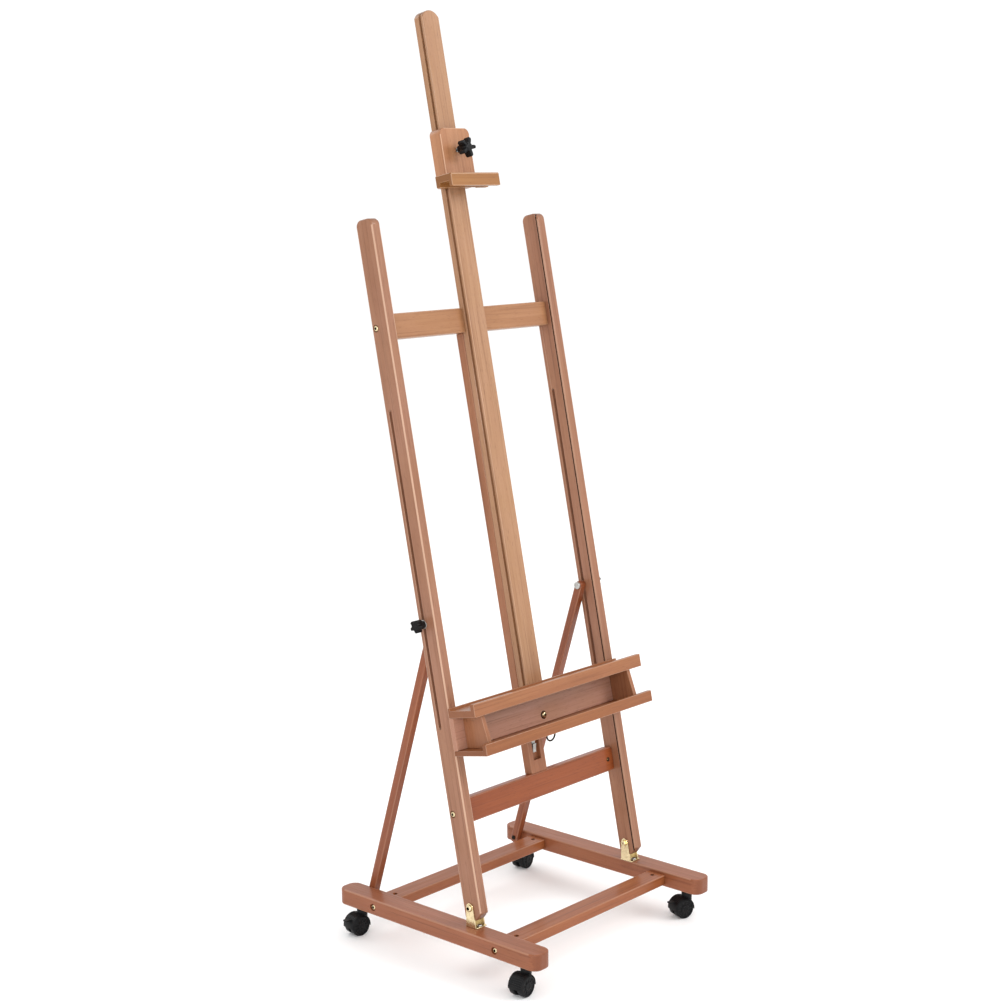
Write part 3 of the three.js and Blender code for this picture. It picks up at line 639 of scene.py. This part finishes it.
# The strut's foot screw: its head faces the middle of the easel.
def makeStrutScrew(hand, side):
    centre, low, high = boxCentre(f"strut_screw_{hand}")
    outer, inner = endsOf(side, low, high)
    headRadius, headHeight, shankRadius = fixings["strut_screw"]
    matrix = facing(Vector((inner + side * headHeight * mm, centre.y, centre.z)), (-side, 0, 0))
    shank = abs(outer - inner) / mm - headHeight
    mesh = headedBolt(matrix, headRadius, headHeight, shankRadius, shank, crossShape)
    place(addPiece(f"fixing_strut_screw_{hand}", mesh, wire), f"strut_{hand}",
          [f"strut_screw_{hand}"])


# The screw in the bracket's foot plate.
def makeBracketScrew(hand):
    centre, low, high = boxCentre(f"bracket_screw_{hand}")
    headRadius, headHeight, shankRadius = fixings["bracket_screw"]
    matrix = facing(Vector((centre.x, centre.y, high.z - headHeight * mm)), (0, 0, 1))
    shank = (high.z - low.z) / mm - headHeight
    mesh = headedBolt(matrix, headRadius, headHeight, shankRadius, shank, crossShape)
    place(addPiece(f"fixing_bracket_screw_{hand}", mesh, steel), "base",
          [f"bracket_screw_{hand}"])


# The bolt the frame tilts on, with its nut.
def makeTiltBolt(hand, side):
    centre, low, high = boxCentre(f"tilt_bolt_{hand}")
    outer, inner = endsOf(side, low, high)
    headRadius, headHeight, shankRadius = fixings["tilt_bolt"]
    shank = abs(outer - inner) / mm - headHeight
    headMatrix = facing(Vector((outer - side * headHeight * mm, centre.y, centre.z)), (side, 0, 0))
    bolt = headedBolt(headMatrix, headRadius, headHeight, shankRadius, shank, hexShape, 60)
    nutMatrix = facing(Vector((inner, centre.y, centre.z)), (side, 0, 0))
    nut = turned([(r, h, hexShape) for r, h in fixings["nut"]], nutMatrix, 48)
    piece = addPiece(f"fixing_tilt_bolt_{hand}", joinMeshes([bolt, nut]), brass)
    place(piece, "base", [f"tilt_bolt_{hand}"])


# The tray's bolt, a domed head on a thin washer.
def makeTrayBolt():
    toPainter = leanTurn @ Vector((0, -1, 0))
    seat = frameMatrix @ (Vector(fixings["traySeat"]) * mm)
    washer = turned(rounded(fixings["trayWasher"]), facing(seat, toPainter), 64)
    onWasher = facing(seat + toPainter * fixings["washerThickness"] * mm, toPainter)
    head = headedBolt(onWasher, *fixings["tray_bolt"], fixings["trayShank"], crossShape, 64)
    place(addPiece("fixing_tray_washer", washer, wire), "mast")
    place(addPiece("fixing_tray_bolt", head, brass), "mast", ["tray_bolt"])


def makeFixings():
    for hand, side in sideNames.items():
        for end in ("front", "rear"):
            sideFixing(
                f"base_bolt_{end}_{hand}", side, fixings["base_bolt"], hexShape, brass)
        for level in ("low", "high"):
            sideFixing(
                f"frame_bolt_{level}_{hand}", side, fixings["frame_bolt"], hexShape, brass)
        makeStrutScrew(hand, side)
        makeBracketScrew(hand)
        makeTiltBolt(hand, side)
    makeTrayBolt()


makeFixings()


# Plated and moulded pieces that keep their own outline, with their edges eased.
eased = [
    ("bracket_left", 0.5, brass, "plated_brass"),
    ("bracket_right", 0.5, brass, "plated_brass"),
    ("lock_bolt_left", 0.5, steel, "zinc_steel"),
    ("lock_bolt_right", 0.5, steel, "zinc_steel"),
    ("ratchet_pawl", 0.4, pawlSteel, "zinc_steel"),
    ("clamp_shoe", 0.3, plastic, "black_plastic"),
    ("castor_brake_front_right", 0.7, plastic, "black_plastic"),
    ("castor_brake_rear_left", 0.7, plastic, "black_plastic"),
]


def makeEased():
    for nodeName, radius, material, slotName in eased:
        piece = addPiece("eased_" + nodeName, softened(nodeName, radius * mm, 2), material)
        place(piece, bodyOf[nodeName], [nodeName])


makeEased()
print("fixings ready")

# Hand knobs.
knobLook = {
    "clamp": {
        "radius": 20.5, "lobes": 5, "valley": 10.5, "lobeWidth": 0.16, "flank": 0.5,
        "root": (0, -45, 1522), "starAt": 18.2, "thickness": 16.4, "easing": 2.2,
        "neck": [(6.5, 5.6), (8.2, 6.4), (7.6, 12), (9, 16), (10, 20)],
        "cap": [(6.5, 33), (6.5, 34.6), (5.6, 34.9), (3, 34.9)],
        "screw": {"root": 3.9, "crest": 4.0, "length": 13.5, "turns": 24, "tip": 14.5},
    },
    "lock": {
        "radius": 13.5, "lobes": 5, "valley": 4.6, "lobeWidth": 0.2, "flank": 0.6,
        "starAt": 8, "thickness": 16.6, "easing": 2.0,
        "collar": [(4, 0), (7.6, 0), (8, 0.6), (7.4, 9), (6, 9.4)],
    },
}


def starSkin(look, matrix, steps=120):
    rings = []
    thickness = look["thickness"]
    ease = look["easing"]
    levels = [
        (ease, 0), (0.35 * ease, 0.3 * ease), (0, ease),
        (0, thickness - ease), (0.35 * ease, thickness - 0.3 * ease), (ease, thickness),
        (ease * 1.9, thickness + 0.1), (ease * 2.4, thickness - 0.8),
    ]
    for inset, height in levels:
        ring = []
        for i in range(steps):
            angle = 2 * math.pi * i / steps
            # 0 on the middle of a lobe, 1 in the middle of a valley
            across = 2 * abs((look["lobes"] * angle / (2 * math.pi) + 0.5) % 1 - 0.5)
            drop = min(1, max(0, (across - look["lobeWidth"]) / look["flank"]))
            r = (look["radius"] - look["valley"] * drop * drop * (3 - 2 * drop) - inset) * mm
            ring.append(matrix @ Vector((r * math.cos(angle), r * math.sin(angle), height * mm)))
        rings.append(ring)
    return skin(rings)


def makeClampKnob():
    # star, neck and steel screw, drawn from the clamp block towards the painter
    look = knobLook["clamp"]
    toPainter = leanTurn @ Vector((0, -1, 0))
    root = frameMatrix @ (Vector(look["root"]) * mm)
    star = starSkin(look, facing(root + toPainter * look["starAt"] * mm, toPainter))
    neck = turned(rounded(look["neck"]), facing(root, toPainter), 48)
    cap = turned(rounded(look["cap"]), facing(root, toPainter), 48)
    place(addPiece("knob_clamp", joinMeshes([star, neck, cap]), plastic), "clamp_knob",
          ["clamp_knob"])
    size = look["screw"]
    profile = threadProfile(size["root"], size["crest"], size["length"], size["turns"])
    screw = turned(profile, facing(root - toPainter * size["tip"] * mm, toPainter), 32)
    place(addPiece("knob_clamp_screw", screw, steel), "clamp_knob")


def makeLockKnob(hand, side):
    look = knobLook["lock"]
    centre, low, high = boxCentre(f"lock_knob_{hand}")
    inner = endsOf(side, low, high)[1]
    matrix = facing(Vector((inner, centre.y, centre.z)), (side, 0, 0))
    lobes = starSkin(look, matrix @ Matrix.Translation((0, 0, look["starAt"] * mm)))
    collar = turned(rounded(look["collar"]), matrix, 48)
    place(addPiece(f"knob_lock_{hand}", joinMeshes([lobes, collar]), plastic), f"lock_knob_{hand}",
          [f"lock_knob_{hand}"])


# A run of thread drawn as close rings: radius swings between root and crest.
def threadProfile(rootRadius, crestRadius, length, turns):
    profile = [(0.4 * rootRadius, 0, roundShape)]
    for i in range(2 * turns + 1):
        radius = crestRadius if i % 2 else rootRadius - 0.35
        profile.append((radius, length * i / (2 * turns), roundShape))
    profile.append((0.4 * rootRadius, length + 0.2, roundShape))
    return profile


makeClampKnob()
for handName, handSide in sideNames.items():
    makeLockKnob(handName, handSide)
print("knobs ready")

# Ratchet strip, pull ring and barrel nuts, grown by geometry nodes.
rackLook = {
    "teeth": 41, "pitch": 20.0, "first": 258.0, "tilt": 14.0,
    "strip": (10, 3.0), "stripDepth": 4.5, "tooth": (9.6, 2.4, 13), "toothDepth": 2.3, "start": 0.6,
}


def rackTree():
    tree, source = newTree("ratchet strip", {
        "Teeth": 41, "Pitch": (0.0, 0.0, 0.02),
        "Strip Size": (0.01, 0.003, 0.82), "Tooth Size": (0.0096, 0.003, 0.012),
        "Tooth Place": (0.0, 0.0, 0.0), "Strip Place": (0.0, 0.0, 0.0), "Tooth Tilt": (0.0, 0.0, 0.0)})
    pins = source.outputs
    strip = geoNode(tree, "GeometryNodeMeshCube", {"Size": pins["Strip Size"]})
    moved = geoNode(tree, "GeometryNodeTransform", {
        "Geometry": strip.outputs["Mesh"], "Translation": pins["Strip Place"]})
    tooth = geoNode(tree, "GeometryNodeMeshCube", {"Size": pins["Tooth Size"]})
    tilted = geoNode(tree, "GeometryNodeTransform", {"Geometry": tooth.outputs["Mesh"]})
    tree.links.new(pins["Tooth Tilt"], tilted.inputs["Rotation"])
    row = geoNode(tree, "GeometryNodeMeshLine", {
        "Count": pins["Teeth"], "Offset": pins["Pitch"], "Start Location": pins["Tooth Place"]})
    many = geoNode(tree, "GeometryNodeInstanceOnPoints", {
        "Points": row.outputs["Mesh"], "Instance": tilted.outputs["Geometry"]})
    both = geoNode(tree, "GeometryNodeJoinGeometry")
    tree.links.new(many.outputs["Instances"], both.inputs["Geometry"])
    tree.links.new(moved.outputs["Geometry"], both.inputs["Geometry"])
    return finishTree(tree, source, both.outputs["Geometry"])


def makeRack():
    look = rackLook
    pitch = look["pitch"] * mm
    length = look["teeth"] * pitch
    first = look["first"] * mm
    mesh = grown("rack", rackTree(), {
        "Teeth": look["teeth"],
        "Pitch": (0.0, 0.0, pitch),
        "Strip Size": (look["strip"][0] * mm, look["strip"][1] * mm, length),
        "Strip Place": (0.0, look["stripDepth"] * mm, first + length / 2),
        "Tooth Size": tuple(size * mm for size in look["tooth"]),
        "Tooth Place": (0.0, look["toothDepth"] * mm, first + look["start"] * pitch),
        "Tooth Tilt": (math.radians(look["tilt"]), 0.0, 0.0),
    }, steel)
    mesh.transform(frameMatrix)
    place(addPiece("ratchet_strip", mesh, steel), "frame", ["ratchet_rack"])


ringLook = {"radius": 13, "wire": 1.85}


def ringTree():
    tree, source = newTree("pull ring", {"Radius": 0.0105, "Wire": 0.0016})
    pins = source.outputs
    circle = geoNode(tree, "GeometryNodeCurvePrimitiveCircle", {"Radius": pins["Radius"]}, Resolution=96)
    section = geoNode(tree, "GeometryNodeCurvePrimitiveCircle", {"Radius": pins["Wire"]}, Resolution=20)
    tube = geoNode(tree, "GeometryNodeCurveToMesh", {
        "Curve": circle.outputs["Curve"], "Profile Curve": section.outputs["Curve"]})
    smooth = geoNode(tree, "GeometryNodeSetShadeSmooth", {"Geometry": tube.outputs["Mesh"]})
    return finishTree(tree, source, smooth.outputs["Geometry"])


def makeRing():
    low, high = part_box("pull_ring")
    centre = (low + high) / 2
    look = ringLook
    mesh = grown("ring", ringTree(), {"Radius": look["radius"] * mm, "Wire": look["wire"] * mm}, wire)
    mesh.transform(Matrix.Translation(centre) @ Matrix.Rotation(math.radians(90), 4, "X"))
    place(addPiece("pull_ring_wire", mesh, wire), "ring", ["pull_ring"])


nutLook = {
    "radius": 4.7, "depth": 6, "slot": (7.0, 1.3, 1.6), "x": 221,
    "baseRows": (-169.5, 173.5), "baseZ": 79.2, "frameAt": (190.5, -4.4),
}


def nutTree():
    tree, source = newTree("barrel nuts", {
        "Radius": 0.0047, "Depth": 0.006, "Slot": (0.008, 0.0012, 0.001)})
    pins = source.outputs
    barrel = geoNode(tree, "GeometryNodeMeshCylinder", {
        "Radius": pins["Radius"], "Depth": pins["Depth"]}, Vertices=40)
    pocket = geoNode(tree, "GeometryNodeMeshCube", {"Size": pins["Slot"]})
    top = geoNode(tree, "ShaderNodeCombineXYZ")
    halfDepth = geoNode(tree, "ShaderNodeMath", operation="MULTIPLY")
    tree.links.new(pins["Depth"], halfDepth.inputs[0])
    halfDepth.inputs[1].default_value = 0.5
    tree.links.new(halfDepth.outputs[0], top.inputs["Z"])
    moved = geoNode(tree, "GeometryNodeTransform", {
        "Geometry": pocket.outputs["Mesh"], "Translation": top.outputs["Vector"]})
    slotted = geoNode(tree, "GeometryNodeMeshBoolean", operation="DIFFERENCE", solver="EXACT")
    tree.links.new(barrel.outputs["Mesh"], slotted.inputs["Mesh 1"])
    tree.links.new(moved.outputs["Geometry"], slotted.inputs["Mesh 2"])
    many = geoNode(tree, "GeometryNodeInstanceOnPoints", {
        "Points": source.outputs["Geometry"], "Instance": slotted.outputs["Mesh"]})
    return finishTree(tree, source, many.outputs["Instances"])


def makeNuts():
    tree = nutTree()
    look = nutLook
    reach = look["x"]
    rows = {
        "base": [(side * reach, y, look["baseZ"]) for side in (-1, 1) for y in look["baseRows"]],
        "frame": [(side * reach, *look["frameAt"]) for side in (-1, 1)],
    }
    for body, points in rows.items():
        holder = bpy.data.meshes.new("nutPoints")
        holder.from_pydata([tuple(value * mm for value in point) for point in points], [], [])
        mesh = grown("nuts", tree, {
            "Radius": look["radius"] * mm, "Depth": look["depth"] * mm,
            "Slot": tuple(value * mm for value in look["slot"])}, brass, holder)
        if body == "frame":
            # local z turns to face the painter, and x stays across
            mesh.transform(frameMatrix @ Matrix.Rotation(math.radians(90), 4, "X"))
        place(addPiece(f"barrel_nuts_{body}", mesh, brass), body)


makeRack()
makeRing()
makeNuts()
print("ratchet, ring and nuts ready")

# Castors.
castorLook = {
    "wheelRadius": 21.5, "wheelWidth": 13.0, "gap": 8.0, "trail": 14.0, "hoodRadius": 23.8,
    "hoodLip": 0.12, "hoodSteps": 56,
    "stem": [(8, 30), (11, 33), (11.4, 55), (10, 57.5), (7.4, 60.4), (5, 60.6), (5, 79), (4, 80.4)],
    "ribs": 15, "ribStart": 24, "ribSweep": 146, "ribSweepBraked": 110, "rib": (1.0, 0.9),
    "spokes": 10, "spokeRadius": 13.2, "spoke": (7.8, 1.1, 1.6), "axleRadius": 3,
}


# Sweeps a (radius, y) section round the castor's axle from one angle to another.
def axleSweep(section, startAngle, endAngle, steps, matrix):
    look = castorLook
    rings = []
    for i in range(steps + 1):
        angle = startAngle + (endAngle - startAngle) * i / steps
        ring = []
        for r, y in section:
            x = -look["trail"] + r * math.cos(angle)
            z = look["wheelRadius"] + r * math.sin(angle)
            ring.append(matrix @ Vector((x * mm, y * mm, z * mm)))
        rings.append(ring)
    return skin(rings)


def hoodSection():
    look = castorLook
    outer = look["hoodRadius"]
    inner = look["wheelRadius"] + 0.8
    half = look["gap"] / 2 + look["wheelWidth"]
    web = look["gap"] / 2 - 0.4
    right = [
        (outer, half - 1.8), (outer - 0.4, half - 0.6), (outer - 1.0, half), (inner + 0.2, half),
        (inner, half - 0.4), (inner, web + 0.6), (inner - 0.6, web), (4.0, web),
    ]
    return right + [(r, -y) for r, y in reversed(right)]


def radialTree(name):
    tree, source = newTree(name, {
        "Count": 12, "Radius": 0.0238, "Start": 0.0, "Sweep": 3.14, "Bar Size": (0.001, 0.03, 0.001)})
    pins = source.outputs
    arc = geoNode(tree, "GeometryNodeCurveArc", {
        "Radius": pins["Radius"], "Start Angle": pins["Start"], "Sweep Angle": pins["Sweep"]},
        Resolution=64)
    spaced = geoNode(tree, "GeometryNodeCurveToPoints", {
        "Curve": arc.outputs["Curve"], "Count": pins["Count"]}, mode="COUNT")
    bar = geoNode(tree, "GeometryNodeMeshCube", {"Size": pins["Bar Size"]})
    many = geoNode(tree, "GeometryNodeInstanceOnPoints", {
        "Points": spaced.outputs["Points"], "Instance": bar.outputs["Mesh"],
        "Rotation": spaced.outputs["Rotation"]})
    return finishTree(tree, source, many.outputs["Instances"])


def makeCastors():
    look = castorLook
    ribs = radialTree("hood ribs")
    section = hoodSection()
    half = look["gap"] / 2 + look["wheelWidth"]
    # the arc lies in its own xy plane; this turns it upright round the axle
    toAxle = Matrix.Translation((-look["trail"] * mm, 0, look["wheelRadius"] * mm)) @ Matrix.Rotation(
        math.radians(90), 4, "X")
    for where in easel["castorTurns"]:
        matrix = castorMatrix(where)
        braked = f"castor_brake_{where}" in nodes
        lip = look["hoodLip"]
        shell = axleSweep(section, -lip, math.pi + lip, look["hoodSteps"], matrix)
        stem = turned(rounded(look["stem"]), matrix, 40)
        ribWidth, ribHeight = look["rib"]
        sweep = look["ribSweepBraked"] if braked else look["ribSweep"]
        ribMesh = grown("ribs", ribs, {
            "Count": look["ribs"], "Radius": (look["hoodRadius"] + 0.05) * mm,
            "Start": math.radians(look["ribStart"]), "Sweep": math.radians(sweep),
            "Bar Size": (ribWidth * mm, (2 * half - 4) * mm, ribHeight * mm)}, plastic)
        ribMesh.transform(matrix @ toAxle)
        mesh = joinMeshes([shell, stem, ribMesh])
        place(addPiece(f"castor_shell_{where}", mesh, plastic), f"castor_{where}",
              [f"castor_hood_{where}"])
        makeWheels(where, matrix)
    print("castors ready")


def makeWheels(where, matrix):
    look = castorLook
    radius = look["wheelRadius"]
    width = look["wheelWidth"]
    profile = [
        (4, 0), (radius - 1.6, 0), (radius - 0.5, 0.5), (radius, 1.7), (radius, width - 2.4),
        (radius - 0.6, width - 0.9), (radius - 1.8, width - 0.1), (radius - 3.6, width - 0.05),
        (radius - 4.4, width - 1.6), (9.4, width - 1.9), (8.6, width - 0.4), (6.0, width - 0.05),
        (5.2, width - 0.9), (2.0, width - 1.0),
    ]
    meshes = []
    for side in (-1, 1):
        start = Vector((-look["trail"] * mm, side * look["gap"] / 2 * mm, radius * mm))
        local = matrix @ Matrix.Translation(start) @ Matrix.Rotation(math.radians(-90 * side), 4, "X")
        meshes.append(turned(rounded(profile), local, 72))
        spokes = grown("spokes", spokeTree, {
            "Count": look["spokes"], "Radius": look["spokeRadius"] * mm, "Start": 0.0,
            "Sweep": 2 * math.pi * (1 - 1 / look["spokes"]),
            "Bar Size": tuple(value * mm for value in look["spoke"])}, plastic)
        spokes.transform(local @ Matrix.Translation((0, 0, (width - 1.5) * mm)))
        meshes.append(spokes)
    centre = matrix @ Matrix.Translation((-look["trail"] * mm, 0, radius * mm))
    axle = centre @ Matrix.Rotation(math.radians(90), 4, "X")
    reach = look["gap"] / 2 + 1
    axleRadius = look["axleRadius"]
    meshes.append(turned(rounded([(axleRadius, -reach), (axleRadius, reach)]), axle, 32))
    place(addPiece(f"castor_tyres_{where}", joinMeshes(meshes), plastic), f"wheels_{where}",
          [f"castor_wheels_{where}"])


spokeTree = radialTree("wheel spokes")
makeCastors()

# Floor, light and camera.
studio = {
    "reach": 60.0,
    "floorColour": (0.985, 0.985, 0.985),
    "floorWear": (0.94, 0.94, 0.94),
    "worldColour": (1.0, 1.0, 1.0),
    "worldStrength": 1.06,
    "lights": {
        "key": {"at": (2.6, -4.2, 4.2), "size": 2.6, "watts": 135},
        "front": {"at": (-3.5, -3.4, 2.3), "size": 0.8, "watts": 42},
        "fill": {"at": (-4.2, -1.2, 2.4), "size": 3.2, "watts": 20},
        "back": {"at": (-0.6, 3.6, 3.4), "size": 3.0, "watts": 30},
    },
    "lookAt": (0.0, 0.0, 0.9),
}
view = {
    "at": (-2.88372, -2.54981, 1.57683), "yaw": 47.80, "pitch": -9.603, "roll": -0.486,
    "lens": 67.97, "shift": (0.00038, -0.00202),
}


def makeStudio():
    mesh = bpy.data.meshes.new("floor")
    reach = studio["reach"]
    corners = [(-reach, -reach, 0), (reach, -reach, 0), (reach, reach, 0), (-reach, reach, 0)]
    mesh.from_pydata(corners, [], [(0, 1, 2, 3)])
    material, tree, shader = newMaterial("studio floor")
    spot = addNode(tree, "ShaderNodeTexCoord").outputs["Object"]
    unevenness = remap(tree, noise(tree, spot, 3.0), 0.3, 0.7, 0.0, 0.05)
    colour = mixColour(tree, unevenness, studio["floorColour"], studio["floorWear"])
    tree.links.new(colour, shader.inputs["Base Color"])
    shader.inputs["Roughness"].default_value = 0.7
    floor = addPiece("floor", mesh, material)
    for name, light in studio["lights"].items():
        lamp = bpy.data.lights.new(name, "AREA")
        lamp.shape = "DISK"
        lamp.size = light["size"]
        lamp.energy = light["watts"]
        item = bpy.data.objects.new(name, lamp)
        item.location = light["at"]
        aim = Vector(studio["lookAt"]) - Vector(light["at"])
        item.rotation_euler = aim.to_track_quat("-Z", "Y").to_euler()
        bpy.context.scene.collection.objects.link(item)
    world = bpy.data.worlds.new("studio")
    world.use_nodes = True
    background = world.node_tree.nodes["Background"]
    background.inputs["Color"].default_value = (*studio["worldColour"], 1.0)
    background.inputs["Strength"].default_value = studio["worldStrength"]
    bpy.context.scene.world = world
    bpy.context.scene.view_settings.view_transform = "Standard"


def makeCamera():
    yaw, pitch, roll = (math.radians(view[key]) for key in ("yaw", "pitch", "roll"))
    flat = math.cos(pitch)
    forward = Vector((math.sin(yaw) * flat, math.cos(yaw) * flat, math.sin(pitch)))
    level = forward.cross(alongZ).normalized()
    upward = level.cross(forward)
    right = level * math.cos(roll) + upward * math.sin(roll)
    up = right.cross(forward)
    data = bpy.data.cameras.new("camera")
    data.lens = view["lens"]
    data.sensor_width = 36.0
    data.shift_x, data.shift_y = view["shift"]
    camera = bpy.data.objects.new("camera", data)
    turn = Matrix((right, up, -forward)).transposed().to_4x4()
    camera.matrix_world = Matrix.Translation(view["at"]) @ turn
    bpy.context.scene.collection.objects.link(camera)
    bpy.context.scene.camera = camera


makeStudio()
makeCamera()
print("studio ready")

bpy.context.view_layer.update()
